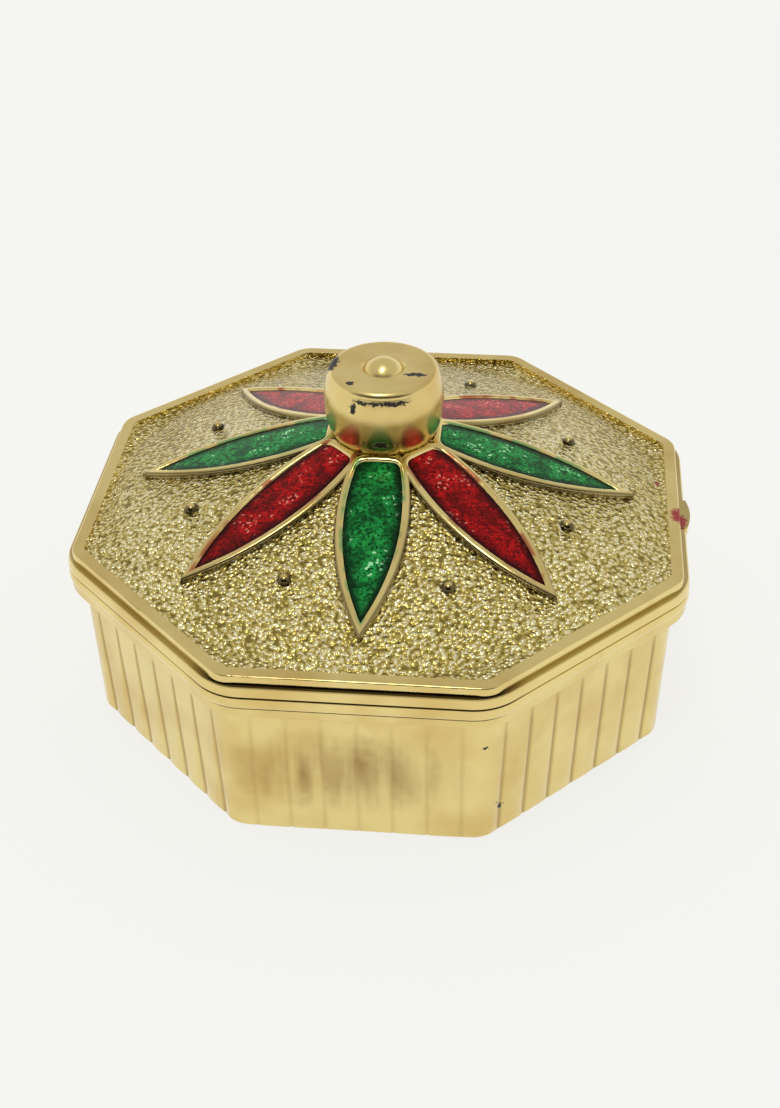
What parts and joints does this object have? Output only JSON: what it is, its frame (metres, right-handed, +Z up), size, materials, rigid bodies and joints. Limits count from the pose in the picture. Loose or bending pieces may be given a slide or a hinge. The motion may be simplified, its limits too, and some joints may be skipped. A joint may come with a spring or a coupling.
{
  "type": "sindoor box",
  "caption": "Low octagonal gold-plated plastic box with fluted sides; the coned lid with enamelled leaves and a round knob lifts straight off.",
  "frame": {"origin": "middle of the underside, at the bottom centre of the tray", "axes": "+Z up through the knob, -Y towards the front side of the octagon, +X to the right"},
  "size_m": [0.07, 0.0696, 0.0405],
  "materials": {
    "plated_tray": "gold vacuum-metallised moulded plastic, bright, with fine vertical flutes",
    "plated_lid": "gold vacuum-metallised moulded plastic, grained field, smooth bright mouldings",
    "plated_knob": "gold vacuum-metallised moulded plastic, bright, plating chipped at the edges",
    "enamel_green": "translucent green glitter lacquer, poured and glossy",
    "enamel_red": "translucent deep red glitter lacquer, poured and glossy"
  },
  "bodies": {
    "tray": {"base_shell": "plated_tray"},
    "lid": {"lid_shell": "plated_lid", "knob": "plated_knob", "enamel_front_green": "enamel_green", "enamel_front_right_red": "enamel_red", "enamel_right_green": "enamel_green", "enamel_back_right_red": "enamel_red", "enamel_back_green": "enamel_green", "enamel_back_left_red": "enamel_red", "enamel_left_green": "enamel_green", "enamel_front_left_red": "enamel_red"}
  },
  "joints": [
    {"name": "lid_lift", "type": "slide", "parent": "tray", "child": "lid", "axis": [0, 0, 1], "range_m": [0, 0.03]}
  ]
}
